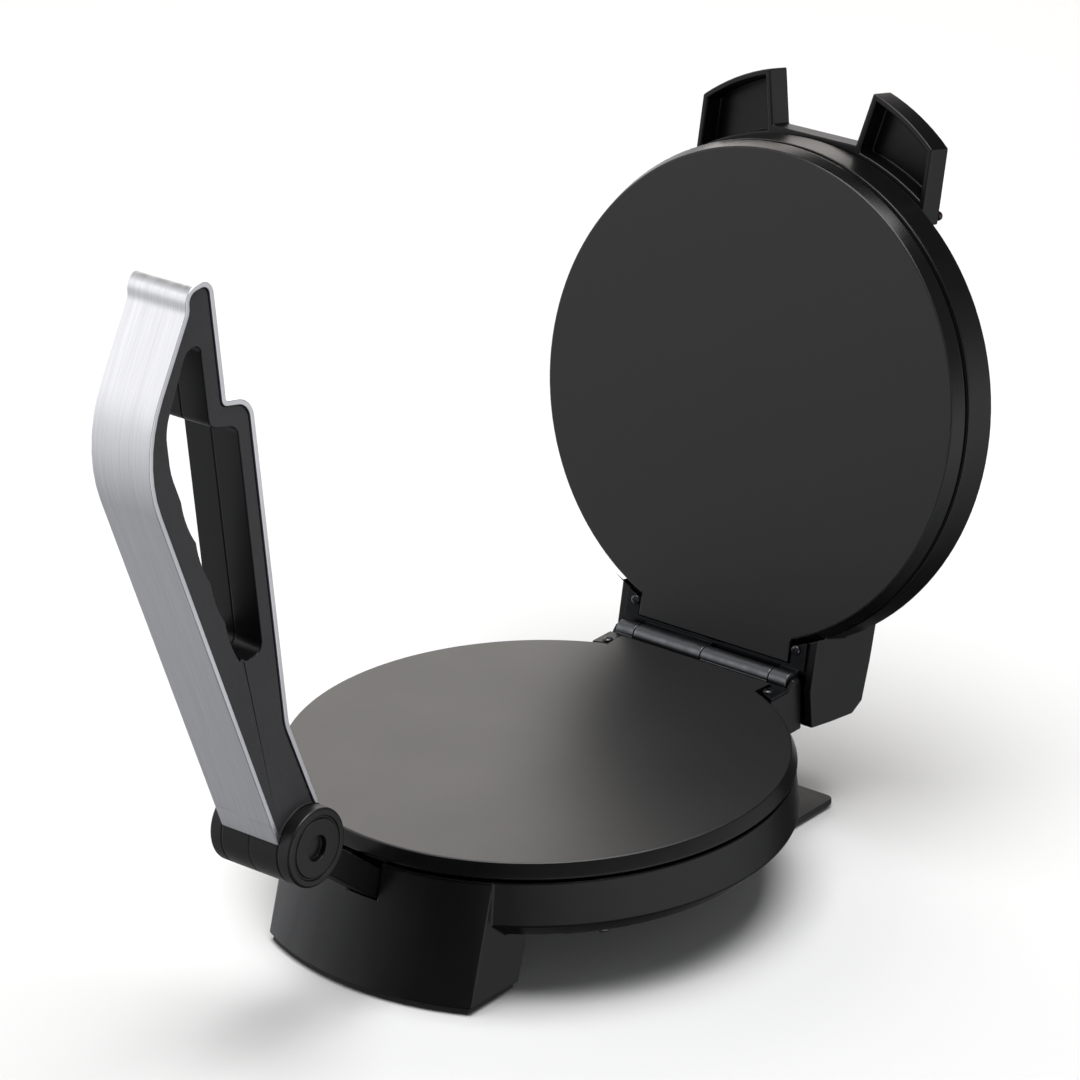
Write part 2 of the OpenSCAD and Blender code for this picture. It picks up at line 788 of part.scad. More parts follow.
// Round cap with a ring groove and a deep centre hole, on the +x end of the barrel
module pivot_cap() {
    inner_x = band_w / 2;
    outer_x = hub_len / 2;
    rotate([0, 90, 0]) rotate_extrude() polygon([[6.4, inner_x], [hub_r, inner_x],
        [hub_r, outer_x - 0.8], [hub_r - 0.8, outer_x], [cap_groove_r[1], outer_x],
        [cap_groove_r[1], outer_x - 0.8], [cap_groove_r[0], outer_x - 0.8], [cap_groove_r[0], outer_x],
        [cap_hole_r, outer_x], [cap_hole_r, outer_x - 2.6], [0, outer_x - 2.6], [0, outer_x - 3.4],
        [6.4, outer_x - 3.4]]);
}

module right_pivot_cap() {
    color(black_plastic) handle_pose() pivot_cap();
}

module left_pivot_cap() {
    color(black_plastic) handle_pose() mirror([1, 0, 0]) pivot_cap();
}

module handle_axle() {
    color(steel) placed() translate([0, pivot_y, pivot_z]) x_cylinder(axle_r, -16.2, 16.2);
}

module axle_clips() {
    color(steel) placed() translate([0, pivot_y, pivot_z]) mirrored_x() difference() {
        x_cylinder(5, band_w / 2 + 0.5, band_w / 2 + 1.3);
        x_cylinder(axle_r, 0, 20);
    }
}

module pivot_bracket() {
    color(black_plastic) placed() difference() {
        union() {
            translate([0, pivot_y, pivot_z]) {
                x_cylinder(arm_hub_r, -arm_half_w - 0.2, arm_half_w + 0.2);
                rotate([-arm_drop, 0, 0])
                    box([-arm_half_w, 0, -arm_t / 2], [arm_half_w, arm_reach, arm_t / 2]);
            }
            box([-17, -97.6, -27.5], [17, -95, -9]);
        }
        translate([0, pivot_y, pivot_z]) x_cylinder(axle_r, -20, 20);
        box([-20, -95, -60], [20, -60, 0]);
        for (x = [-1, 1]) translate([x * 12, -90, -19]) rotate([90, 0, 0])
            cylinder(r = screw_r + hole_gap, h = 9);
    }
}

module pivot_bracket_screws() {
    color(steel) placed() for (x = [-1, 1]) translate([x * 12, -95, -19]) rotate([90, 0, 0]) screw(6);
}

base_housing();
base_cover();
base_cover_screws();
lower_plate();
lower_plate_screws();
lower_heating_element();
lower_heat_shield();
lower_thermostat();
thermal_fuse();
terminal_block();
cord_gland();
front_foot_pad();
rear_foot_plate();
rear_foot_screws();
rear_foot_pads();
lower_hinge_leaf();
lower_hinge_screws();
hinge_pin();
pivot_bracket();
pivot_bracket_screws();
handle_axle();
axle_clips();
lid_housing();
upper_plate();
upper_plate_screws();
upper_heating_element();
upper_heat_shield();
upper_thermostat();
upper_hinge_leaf();
upper_hinge_screws();
power_lens();
ready_lens();
handle_band();
handle_left_shell();
handle_right_shell();
handle_screws();
left_pivot_cap();
right_pivot_cap();
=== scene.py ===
"""Looks for an electric flatbread maker: two hot plates, a hinged lid and a pressing lever."""

import json
import math

import bmesh
import bpy
from bpy.props import FloatProperty, FloatVectorProperty, IntProperty, PointerProperty
from mathutils import Matrix, Vector


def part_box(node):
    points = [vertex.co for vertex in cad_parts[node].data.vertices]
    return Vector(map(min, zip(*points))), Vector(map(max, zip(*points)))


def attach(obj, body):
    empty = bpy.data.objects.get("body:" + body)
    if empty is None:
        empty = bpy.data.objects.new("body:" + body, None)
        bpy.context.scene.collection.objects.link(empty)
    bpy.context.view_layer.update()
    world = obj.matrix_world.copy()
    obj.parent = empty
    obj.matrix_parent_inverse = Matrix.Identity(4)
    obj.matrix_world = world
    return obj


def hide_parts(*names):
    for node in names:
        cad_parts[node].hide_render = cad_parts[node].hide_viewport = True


bl_info = {
    "name": "Flatbread Maker",
    "version": (1, 0, 0),
    "blender": (4, 5, 0),
    "location": "View3D > Sidebar > Flatbread",
    "description": "Builds the finishes, fasteners and stage of an electric flatbread maker",
    "category": "Add Mesh",
}

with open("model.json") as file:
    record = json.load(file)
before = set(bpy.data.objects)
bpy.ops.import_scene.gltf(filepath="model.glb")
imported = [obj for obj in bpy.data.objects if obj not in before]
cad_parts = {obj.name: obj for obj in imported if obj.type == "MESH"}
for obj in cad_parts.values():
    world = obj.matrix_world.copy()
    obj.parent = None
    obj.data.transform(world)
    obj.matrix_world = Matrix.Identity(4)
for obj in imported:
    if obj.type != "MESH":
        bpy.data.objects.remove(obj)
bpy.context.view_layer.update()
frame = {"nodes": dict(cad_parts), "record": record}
MM = 0.001                      # a millimetre, in the scene's metres
SHARP = math.radians(30)        # edges that turn more than this are rounded
LID_SHARP = math.radians(20)    # the lid's own limit, which takes in its shallower edges
FLAT = math.radians(0.4)        # faces that turn less than this are joined into one
WELD_MM = 0.06                  # corner points closer than this are joined before the rounding
TOUCH_MM = 0.002                # corner points closer than this are the same point of a solid
JOINTS = {joint["name"]: joint for joint in frame["record"]["behaviour"]["joints"]}
LID_ANGLE = math.radians(JOINTS["lid_hinge"]["range_deg"][1])
LID_TURN = Matrix.Rotation(-LID_ANGLE, 4, "X")    # from shut to the open lid at rest


def linear(hex_colour):
    """Linear RGB, without alpha, of an sRGB hex colour."""
    channels = [int(hex_colour[i:i + 2], 16) / 255 for i in (1, 3, 5)]
    return [c / 12.92 if c <= 0.04045 else ((c + 0.055) / 1.055) ** 2.4 for c in channels]


def rgba(colour):
    """A linear colour with full alpha."""
    return [*colour, 1.0]


def shade(colour, factor):
    """A colour made darker or lighter by a factor."""
    return [min(1.0, c * factor) for c in colour]


# ---- nodes and materials ----

def add(tree, kind, inputs=None, **settings):
    """Adds a node; inputs maps a socket's name or number to a value or to an output socket."""
    made = tree.nodes.new(kind)
    for name, value in settings.items():
        setattr(made, name, value)
    for name, value in (inputs or {}).items():
        socket = made.inputs[name]
        if isinstance(value, bpy.types.NodeSocket):
            tree.links.new(value, socket)
        else:
            socket.default_value = value
    return made


def new_material(name):
    """An empty material, its node tree and its output node."""
    material = bpy.data.materials.new(name)
    material.use_nodes = True
    tree = material.node_tree
    tree.nodes.clear()
    return material, tree, add(tree, "ShaderNodeOutputMaterial")


def close_material(tree, output, shader):
    """Joins the shader to the material's surface."""
    tree.links.new(shader.outputs["BSDF"], output.inputs["Surface"])


def grid(tree, spacing_mm):
    """Object coordinates counted in steps of the given spacing, in millimetres, along X, Y and Z."""
    place = add(tree, "ShaderNodeTexCoord")
    steps = [1 / (s * MM) for s in spacing_mm]
    return add(tree, "ShaderNodeMapping", {"Vector": place.outputs["Object"], "Scale": steps}).outputs[0]


def noise(tree, spacing_mm, detail=2.0, roughness=0.5):
    """Cloudy noise whose lumps are about the given size, the same or different along X, Y and Z."""
    spacing = spacing_mm if isinstance(spacing_mm, (list, tuple)) else [spacing_mm] * 3
    made = add(tree, "ShaderNodeTexNoise",
               {"Vector": grid(tree, spacing), "Scale": 1.0, "Detail": detail, "Roughness": roughness})
    return made.outputs["Fac"]


def spread(tree, value, low, high, out_low, out_high):
    """Maps a value from low..high to out_low..out_high, clamped."""
    made = add(tree, "ShaderNodeMapRange", {"Value": value, "From Min": low, "From Max": high,
                                            "To Min": out_low, "To Max": out_high})
    return made.outputs["Result"]


def blended(tree, factor, first, second):
    """One colour fading to another; the numbers are the Mix node's colour sockets."""
    made = add(tree, "ShaderNodeMix", {0: factor}, data_type="RGBA")
    made.inputs[6].default_value, made.inputs[7].default_value = rgba(first), rgba(second)
    return made.outputs[2]


def bumped(tree, height, depth_mm, normal=None):
    """A normal that follows the height, on top of another normal if one is given."""
    inputs = {"Height": height, "Distance": depth_mm * MM, "Strength": 1.0}
    if normal is not None:
        inputs["Normal"] = normal
    return add(tree, "ShaderNodeBump", inputs).outputs["Normal"]


def abs_plastic(name, colour, roughness):
    # Injection-moulded ABS with a satin finish: deep black with a broad soft sheen, a faint
    # grain, a few hairline rubs and slightly duller patches where cloths have wiped it.
    material, tree, output = new_material(name)
    patches = noise(tree, 34.0, 4.0, 0.6)
    grain = noise(tree, 0.55, 3.0, 0.65)
    rubs = noise(tree, (0.5, 22.0, 7.0), 3.0, 0.7)
    dull = spread(tree, patches, 0.35, 0.7, roughness - 0.02, roughness + 0.04)
    rubbed = spread(tree, rubs, 0.62, 0.72, 0.0, 0.04)
    rough = add(tree, "ShaderNodeMath", {0: dull, 1: rubbed}, operation="ADD").outputs[0]
    tone = blended(tree, patches, shade(colour, 0.85), shade(colour, 1.2))
    shader = add(tree, "ShaderNodeBsdfPrincipled", {
        "Base Color": tone, "Roughness": rough, "IOR": 1.4, "Normal": bumped(tree, grain, 0.006)})
    close_material(tree, output, shader)
    return material


def grained_plastic(name, colour, roughness, grain_mm, depth_mm):
    # Glass-filled nylon moulded in an etched tool: matt, with an even leathery grain that
    # scatters the light, and paler specks where the grain's peaks are polished by use.
    material, tree, output = new_material(name)
    grain = noise(tree, grain_mm, 2.0, 0.6)
    patches = noise(tree, 26.0, 3.0, 0.55)
    peaks = spread(tree, grain, 0.5, 0.75, 0.0, 1.0)
    tone = blended(tree, peaks, shade(colour, 0.88), shade(colour, 1.22))
    rough = spread(tree, patches, 0.3, 0.7, roughness - 0.06, roughness + 0.06)
    shader = add(tree, "ShaderNodeBsdfPrincipled", {
        "Base Color": tone, "Roughness": rough, "IOR": 1.5, "Normal": bumped(tree, grain, depth_mm)})
    close_material(tree, output, shader)
    return material


def plate_coating(name, colour, centre, turn):
    # Sprayed non-stick coating over turned aluminium: near-black satin with a fine orange-peel
    # texture, tiny mineral flecks and faint shallow rings round the plate's centre.
    ring_scale = 31.25    # a wave node's rings are tau / 20 of its scale's inverse apart: 10 mm here
    material, tree, output = new_material(name)
    place = add(tree, "ShaderNodeTexCoord")
    local = add(tree, "ShaderNodeMapping",
                {"Vector": place.outputs["Object"], "Location": centre, "Rotation": turn},
                vector_type="TEXTURE").outputs[0]
    flat = add(tree, "ShaderNodeVectorMath", {0: local, 1: (1.0, 1.0, 0.0)},
               operation="MULTIPLY").outputs[0]
    rings = add(tree, "ShaderNodeTexWave",
                {"Vector": flat, "Scale": ring_scale, "Distortion": 0.4, "Detail": 1.0},
                wave_type="RINGS", rings_direction="SPHERICAL").outputs["Fac"]
    peel = noise(tree, 0.7, 2.0, 0.5)
    flecks = noise(tree, 0.42, 0.0)
    wiped = noise(tree, 45.0, 4.0, 0.6)
    fleck_mask = spread(tree, flecks, 0.70, 0.76, 0.0, 1.0)
    tone = blended(tree, fleck_mask, colour, shade(colour, 1.6))
    rough = spread(tree, wiped, 0.3, 0.7, 0.40, 0.43)
    normal = bumped(tree, peel, 0.006, bumped(tree, rings, 0.003))
    shader = add(tree, "ShaderNodeBsdfPrincipled", {
        "Base Color": tone, "Roughness": rough, "IOR": 1.54, "Normal": normal})
    close_material(tree, output, shader)
    return material


def brushed_metal(name, colour, roughness, spacing_mm, depth_mm, stretch):
    # Satin-anodised aluminium strip brushed along its length: a silky sheen that runs across
    # the grain, fine bright and dark hairlines and soft streaks a hand's width long.
    material, tree, output = new_material(name)
    lines = noise(tree, spacing_mm, 3.0, 0.7)
    streaks = noise(tree, [s * 6 for s in spacing_mm], 2.0, 0.5)
    fine = spread(tree, lines, 0.3, 0.7, 0.0, 1.0)
    tone = blended(tree, fine, shade(colour, 0.88), shade(colour, 1.08))
    rough = spread(tree, streaks, 0.3, 0.7, roughness - 0.05, roughness + 0.07)
    tangent = add(tree, "ShaderNodeTangent", direction_type="RADIAL", axis="X").outputs[0]
    shader = add(tree, "ShaderNodeBsdfPrincipled", {
        "Base Color": tone, "Metallic": 1.0, "Roughness": rough, "Anisotropic": stretch,
        "Tangent": tangent, "Normal": bumped(tree, lines, depth_mm)})
    close_material(tree, output, shader)
    return material


def plain_metal(name, colour, roughness, mottle_mm, depth_mm, tarnish=None):
    # Bare or plated steel and sheet: a low mirror broken by a cloudy surface and tiny pits,
    # with darker tarnish in soft patches.
    material, tree, output = new_material(name)
    mottle = noise(tree, mottle_mm, 4.0, 0.6)
    pits = noise(tree, 0.4, 2.0, 0.6)
    dark = tarnish or shade(colour, 0.7)
    tone = blended(tree, spread(tree, mottle, 0.35, 0.7, 0.0, 1.0), dark, colour)
    rough = spread(tree, mottle, 0.3, 0.7, roughness + 0.08, roughness - 0.04)
    shader = add(tree, "ShaderNodeBsdfPrincipled", {
        "Base Color": tone, "Metallic": 1.0, "Roughness": rough, "Normal": bumped(tree, pits, depth_mm)})
    close_material(tree, output, shader)
    return material


def lamp_acrylic(name, colour):
    # Moulded acrylic lens: clear, tinted and glossy, with a slight waviness; the depth of the lamps'
    # tints is painted shade.
    material, tree, output = new_material(name)
    ripple = noise(tree, 1.5, 1.0)
    tone = blended(tree, ripple, shade(colour, 0.8), shade(colour, 1.15))
    shader = add(tree, "ShaderNodeBsdfPrincipled", {
        "Base Color": tone, "Roughness": 0.08, "IOR": 1.49, "Transmission Weight": 0.3,
        "Normal": bumped(tree, ripple, 0.02)})
    close_material(tree, output, shader)
    return material


def studio_paper(name, colour):
    # Matt seamless paper: even and pale, with hardly visible fibre clouding.
    material, tree, output = new_material(name)
    fibres = noise(tree, 60.0, 3.0)
    tone = blended(tree, fibres, shade(colour, 0.985), colour)
    shader = add(tree, "ShaderNodeBsdfPrincipled", {"Base Color": tone, "Roughness": 0.9, "IOR": 1.3})
    close_material(tree, output, shader)
    return material


# ---- meshes ----

def set_material(piece, material):
    """Gives a mesh one material only."""
    piece.data.materials.clear()
    piece.data.materials.append(material)


def repaint(node, material):
    """Gives a CAD node that keeps its shape its material."""
    piece = frame["nodes"][node]
    for slot in piece.material_slots:
        slot.link = "OBJECT"
        slot.material = material


def repaint_faces(piece, material, chosen):
    """Gives the faces for which chosen(middle, normal) is true a second material."""
    piece.data.materials.append(material)
    for face in piece.data.polygons:
        if chosen(face.center, face.normal):
            face.material_index = 1


def body_of(node):
    """The moving body that a CAD node belongs to."""
    bodies = frame["record"]["behaviour"]["bodies"]
    return next(body for body, nodes in bodies.items() if node in nodes)


def stand_for(piece, node):
    """Puts the piece in the CAD node's place: the same body, with the node hidden."""
    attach(piece, body_of(node))
    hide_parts(node)


def smooth(mesh):
    """Shades every face smooth."""
    mesh.polygons.foreach_set("use_smooth", [True] * len(mesh.polygons))


def merged_copy(node):
    """The CAD node's mesh as one welded mesh with whole flat faces and no tiny edges."""
    bm = bmesh.new()
    bm.from_mesh(frame["nodes"][node].data)
    bmesh.ops.remove_doubles(bm, verts=bm.verts, dist=WELD_MM * MM)
    bmesh.ops.dissolve_limit(bm, angle_limit=FLAT, verts=bm.verts, edges=bm.edges)
    mesh = bpy.data.meshes.new(node + "_soft")
    bm.to_mesh(mesh)
    bm.free()
    if "custom_normal" in mesh.attributes:
        mesh.attributes.remove(mesh.attributes["custom_normal"])
    return mesh


def softened(name, node, edge_mm, material, sharp=SHARP):
    """A piece with the CAD node's shape and rounded edges, which stands for the node."""
    piece = bpy.data.objects.new(name, merged_copy(node))
    bpy.context.scene.collection.objects.link(piece)
    smooth(piece.data)
    rounding = piece.modifiers.new("rounded edges", "BEVEL")
    rounding.width = edge_mm * MM
    rounding.segments = 3
    rounding.limit_method = "ANGLE"
    rounding.angle_limit = sharp
    rounding.use_clamp_overlap = False
    evened = piece.modifiers.new("even shading", "WEIGHTED_NORMAL")
    evened.keep_sharp = True
    evened.weight = 80
    set_material(piece, material)
    stand_for(piece, node)
    return piece


def islands(node):
    """The corner points of each separate solid in a CAD node, one list for each solid."""
    bm = bmesh.new()
    bm.from_mesh(frame["nodes"][node].data)
    bmesh.ops.remove_doubles(bm, verts=bm.verts, dist=TOUCH_MM * MM)
    found, seen = [], set()
    for start in bm.verts:
        if start in seen:
            continue
        stack, points = [start], []
        seen.add(start)
        while stack:
            vert = stack.pop()
            points.append(vert.co.copy())
            for edge in vert.link_edges:
                other = edge.other_vert(vert)
                if other not in seen:
                    seen.add(other)
                    stack.append(other)
        found.append(points)
    bm.free()
    return found


def lathe(profile, steps):
    """A closed bmesh turned about Z from (radius, height) points, of which both ends lie on the axis."""
    same_point = 1e-7
    bm = bmesh.new()
    rows = []
    for i in range(steps):
        angle = 2 * math.pi * i / steps
        rows.append([bm.verts.new((r * math.cos(angle), r * math.sin(angle), z)) for r, z in profile])
    for i in range(steps):
        a, b = rows[i], rows[(i + 1) % steps]
        for k in range(len(profile) - 1):
            bm.faces.new((a[k], b[k], b[k + 1], a[k + 1]))
    bmesh.ops.remove_doubles(bm, verts=bm.verts, dist=same_point)
    bmesh.ops.recalc_face_normals(bm, faces=bm.faces)
    return bm


# ---- sizes and colours ----

class FlatbreadMakerSettings(bpy.types.PropertyGroup):
    """Sizes and colours of the flatbread maker's finishes"""

    moulding_edge: FloatProperty(name="Moulding edge",
                                 description="Rounding of the black mouldings' edges, in mm",
                                 default=0.7, min=0.1, max=2.0)
    grip_edge: FloatProperty(name="Grip edge", description="Rounding of the grip shells' edges, in mm",
                             default=0.6, min=0.1, max=2.0)
    band_edge: FloatProperty(name="Band edge", description="Rounding of the silver band's edges, in mm",
                             default=0.35, min=0.05, max=0.9)
    plate_edge: FloatProperty(name="Plate edge", description="Rounding of the hot plates' edges, in mm",
                              default=0.5, min=0.1, max=1.5)
    plate_flank: FloatProperty(name="Plate flank", description="Width of the plates' dark edge, in mm",
                               default=2.3, min=0.5, max=8.0)
    knuckle_reach: FloatProperty(name="Knuckle reach",
                                 description="How far from the pin the knuckles' painted highlight goes, in mm",
                                 default=4.6, min=2.0, max=8.0)
    screw_seed: IntProperty(name="Screw seed", description="Fixes how far each screw is turned",
                            default=7)
    body_colour: FloatVectorProperty(name="Body", description="Black mouldings", subtype="COLOR",
                                     default=linear("#0b0b0c"))
    grip_colour: FloatVectorProperty(name="Grip", description="Charcoal grip shells", subtype="COLOR",
                                     default=linear("#343436"))
    band_colour: FloatVectorProperty(name="Band", description="Silver band", subtype="COLOR",
                                     default=linear("#ececef"))
    plate_colour: FloatVectorProperty(name="Plates", description="Non-stick coating", subtype="COLOR",
                                      default=linear("#171718"))


def settings():
    """The sizes and colours set in the panel."""
    return bpy.context.scene.flatbread_maker


# ---- pieces ----

class FLATBREAD_OT_mouldings(bpy.types.Operator):
    """Black mouldings: the base, the lid, the lever's arm, the foot plate and the cover"""

    bl_idname = "flatbread.mouldings"
    bl_label = "Black mouldings"

    def execute(self, context):
        plastic = abs_plastic("satin moulded ABS", settings().body_colour, 0.32)
        matt = grained_plastic("matt black nylon of the plates underneath", settings().body_colour,
                               0.6, 0.6, 0.012)
        edge = settings().moulding_edge
        for name, node, share, material, sharp in (
                ("base_moulding", "base_housing", 1.0, plastic, SHARP),
                ("lid_moulding", "lid_housing", 1.0, plastic, LID_SHARP),
                ("lever_arm", "pivot_bracket", 1.0, plastic, SHARP),
                ("foot_plate", "rear_foot_plate", 0.8, matt, SHARP),
                ("vent_cover", "base_cover", 0.5, matt, SHARP)):
            softened(name, node, edge * share, material, sharp)
        return {"FINISHED"}


def farther_out(middle, axis, radius):
    """A test for faces whose middle is farther than radius from an axis through a point."""
    return lambda point, normal: (point - middle).cross(axis).length > radius


class FLATBREAD_OT_hot_plates(bpy.types.Operator):
    """The two coated hot plates"""

    bl_idname = "flatbread.hot_plates"
    bl_label = "Hot plates"

    def execute(self, context):
        colour = settings().plate_colour
        low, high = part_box("lower_plate")
        radius = (high.x - low.x) / 2
        centre = Vector((0, low.y + radius, high.z))
        hinge = Vector(JOINTS["lid_hinge"]["pos_m"])
        upper = hinge + LID_TURN.to_3x3() @ (centre - hinge)
        # The plates' outer flank gets glossy black plastic instead of the coating: painted shade where
        # the edge turns outward and down.
        flank = abs_plastic("glossy black flank, painted darker as shade", settings().body_colour, 0.2)
        flat_radius = radius - settings().plate_flank * MM
        for name, node, middle, tilt in (("lower_hot_plate", "lower_plate", centre, 0.0),
                                         ("upper_hot_plate", "upper_plate", upper, -LID_ANGLE)):
            title = "non-stick coating, " + node.replace("_", " ")
            coat = plate_coating(title, colour, middle, (tilt, 0, 0))
            plate = softened(name, node, settings().plate_edge, coat)
            axis = Matrix.Rotation(tilt, 3, "X") @ Vector((0, 0, 1))
            repaint_faces(plate, flank, farther_out(middle, axis, flat_radius))
        return {"FINISHED"}


class FLATBREAD_OT_lever(bpy.types.Operator):
    """The lever: its silver band, two grip shells and pivot caps"""

    bl_idname = "flatbread.lever"
    bl_label = "Lever"

    def execute(self, context):
        silver = brushed_metal("brushed anodised aluminium", settings().band_colour, 0.34,
                               (0.35, 45.0, 45.0), 0.002, 0.4)
        nylon = grained_plastic("etched charcoal nylon", settings().grip_colour, 0.62, 0.75, 0.03)
        matt = grained_plastic("matt black nylon", settings().body_colour, 0.42, 0.6, 0.008)
        # Faces that don't face sideways, chiefly the walls of the grip's opening, get black plastic over
        # the shells' charcoal: painted shade inside the opening.
        opening_shade = abs_plastic("satin black painted shade of the grip opening's walls", settings().body_colour, 0.3)
        cap_edge = 0.4
        softened("silver_band", "handle_band", settings().band_edge, silver)
        grip_edge = settings().grip_edge
        for side in ("left", "right"):
            shell = softened(side + "_grip_shell", "handle_" + side + "_shell", grip_edge, nylon)
            repaint_faces(shell, opening_shade, lambda point, normal: abs(normal.x) < 0.7)
        for side in ("left", "right"):
            softened(side + "_barrel_cap", side + "_pivot_cap", cap_edge, matt)
        return {"FINISHED"}


class FLATBREAD_OT_hinge(bpy.types.Operator):
    """The hinge's two leaves and the bare steel shafts"""

    bl_idname = "flatbread.hinge"
    bl_label = "Hinge and shafts"

    def execute(self, context):
        # Each leaf is one bent steel plate: its knuckles get a lighter copy of the steel as a painted
        # highlight, and its flat wings a darker copy as painted shade.
        knuckle_highlight = plain_metal("dark steel of the knuckles, painted lighter as a highlight", linear("#77787b"), 0.3, 6.0, 0.004)
        dark = plain_metal("dark steel of the hinge wings, painted darker as shade", linear("#333436"), 0.34, 6.0, 0.004)
        bright = plain_metal("ground steel", linear("#b4b5b8"), 0.25, 5.0, 0.004)
        pin = Vector(JOINTS["lid_hinge"]["pos_m"])
        knuckle = settings().knuckle_reach * MM
        leaf_edge = 0.25
        for side in ("lower", "upper"):
            leaf = softened(side + "_leaf", side + "_hinge_leaf", leaf_edge, knuckle_highlight)
            repaint_faces(leaf, dark, farther_out(pin, Vector((1, 0, 0)), knuckle))
        for node in ("hinge_pin", "handle_axle", "axle_clips"):
            repaint(node, bright)
        return {"FINISHED"}


class FLATBREAD_OT_feet(bpy.types.Operator):
    """Rubber pads and the cord's gland"""

    bl_idname = "flatbread.feet"
    bl_label = "Rubber"

    def execute(self, context):
        rubber = grained_plastic("moulded nitrile rubber", linear("#1b1b1b"), 0.75, 0.9, 0.03)
        softened("front_pad", "front_foot_pad", 0.4, rubber)
        softened("rear_pads", "rear_foot_pads", 0.25, rubber)
        softened("cord_inlet", "cord_gland", 0.5, rubber)
        return {"FINISHED"}


class FLATBREAD_OT_inner_parts(bpy.types.Operator):
    """Heaters, shields, thermostats and the other parts inside"""

    bl_idname = "flatbread.inner_parts"
    bl_label = "Inner parts"

    def execute(self, context):
        sheath = plain_metal("heat-tinted steel tube", linear("#8b7f74"), 0.42, 8.0, 0.01,
                             linear("#4e4640"))
        tin = plain_metal("aluminised sheet", linear("#c3c4c6"), 0.36, 12.0, 0.01)
        steatite = grained_plastic("fired steatite", linear("#d8d3c6"), 0.55, 0.5, 0.01)
        zinc = plain_metal("zinc-plated steel", linear("#b9b6ac"), 0.3, 3.0, 0.006)
        for nodes, material in (
                (("lower_heating_element", "upper_heating_element"), sheath),
                (("lower_heat_shield", "upper_heat_shield"), tin),
                (("lower_thermostat", "upper_thermostat", "terminal_block"), steatite),
                (("thermal_fuse", "lower_plate_screws", "upper_plate_screws", "pivot_bracket_screws"),
                 zinc)):
            for node in nodes:
                repaint(node, material)
        return {"FINISHED"}


class FLATBREAD_OT_lamps(bpy.types.Operator):
    """The two lamp lenses on the lid"""

    bl_idname = "flatbread.lamps"
    bl_label = "Lamp lenses"

    def execute(self, context):
        # Both tints are near black: painted shade on the red and green lenses.
        repaint("power_lens", lamp_acrylic("red acrylic darkened as painted shade", linear("#260708")))
        repaint("ready_lens", lamp_acrylic("green acrylic darkened as painted shade", linear("#0a2410")))
        return {"FINISHED"}


def screw_head(radius, height, shank, depth):
    """A domed pan head on a plain shank: the head's underside is at z = 0 and the dome faces +Z."""
    bevel = 0.15     # bevel at the shank's end, as a share of the shank's radius
    seat = 0.96      # radius of the head's underside, as a share of the head's
    flat = 0.35      # radius of the flat spot on top, as a share of the head's
    wall = 0.25      # height at which the dome starts, as a share of the head's
    steps = 8
    profile = [(0.0, -depth), (shank * (1 - bevel), -depth), (shank, -depth + shank * bevel),
               (shank, 0.0), (radius * seat, 0.0)]
    for step in range(steps + 1):
        angle = math.pi / 2 * step / steps
        profile.append((radius * (flat + (1 - flat) * math.cos(angle)),
                        height * (wall + (1 - wall) * math.sin(angle))))
    profile.append((0.0, height))
    return lathe(profile, 32)


def screw_tree(material, head):
    """Geometry Nodes that set cross-recessed screws on points, each turned by a random angle."""
    tree = bpy.data.node_groups.new("Cross-recessed screws", "GeometryNodeTree")
    panel = tree.interface
    panel.new_socket("Geometry", in_out="INPUT", socket_type="NodeSocketGeometry")
    for name, value in (("Recess length", 0.002), ("Recess width", 0.0005), ("Recess depth", 0.001),
                        ("Head height", 0.001)):
        socket = panel.new_socket(name, in_out="INPUT", socket_type="NodeSocketFloat")
        socket.subtype = "DISTANCE"
        socket.default_value = value
    panel.new_socket("Lean", in_out="INPUT", socket_type="NodeSocketVector")
    panel.new_socket("Seed", in_out="INPUT", socket_type="NodeSocketInt")
    panel.new_socket("Geometry", in_out="OUTPUT", socket_type="NodeSocketGeometry")
    given = add(tree, "NodeGroupInput").outputs
    deep = add(tree, "ShaderNodeMath", {0: given["Recess depth"], 1: 2.0},
               operation="MULTIPLY").outputs[0]
    bars = []
    for x, y in (("Recess length", "Recess width"), ("Recess width", "Recess length")):
        size = add(tree, "ShaderNodeCombineXYZ", {"X": given[x], "Y": given[y], "Z": deep}).outputs[0]
        cube = add(tree, "GeometryNodeMeshCube", {"Size": size}).outputs["Mesh"]
        lift = add(tree, "ShaderNodeCombineXYZ", {"Z": given["Head height"]}).outputs[0]
        bars.append(add(tree, "GeometryNodeTransform",
                        {"Geometry": cube, "Translation": lift}).outputs[0])
    screw = add(tree, "GeometryNodeObjectInfo", {"Object": head}).outputs["Geometry"]
    cut = add(tree, "GeometryNodeMeshBoolean", {"Mesh 1": screw},
              operation="DIFFERENCE", solver="EXACT")
    for bar in bars:
        tree.links.new(bar, cut.inputs["Mesh 2"])
    largest = 3      # the random node's input for the largest plain number
    twist = add(tree, "FunctionNodeRandomValue", {"Seed": given["Seed"], largest: math.tau},
                data_type="FLOAT")
    own = add(tree, "ShaderNodeCombineXYZ", {"Z": twist.outputs[1]}).outputs[0]
    set_out = add(tree, "GeometryNodeInstanceOnPoints", {
        "Points": given["Geometry"], "Instance": cut.outputs[0], "Rotation": given["Lean"]}).outputs[0]
    turned = add(tree, "GeometryNodeRotateInstances",
                 {"Instances": set_out, "Rotation": own, "Local Space": True}).outputs[0]
    real = add(tree, "GeometryNodeRealizeInstances", {"Geometry": turned}).outputs[0]
    named = add(tree, "GeometryNodeSetMaterial", {"Geometry": real, "Material": material}).outputs[0]
    add(tree, "NodeGroupOutput", {"Geometry": named})
    return tree


def set_input(modifier, name, value):
    """Sets one of a Geometry Nodes modifier's inputs by its name."""
    socket = next(s for s in modifier.node_group.interface.items_tree
                  if s.name == name and s.in_out == "INPUT")
    modifier[socket.identifier] = value


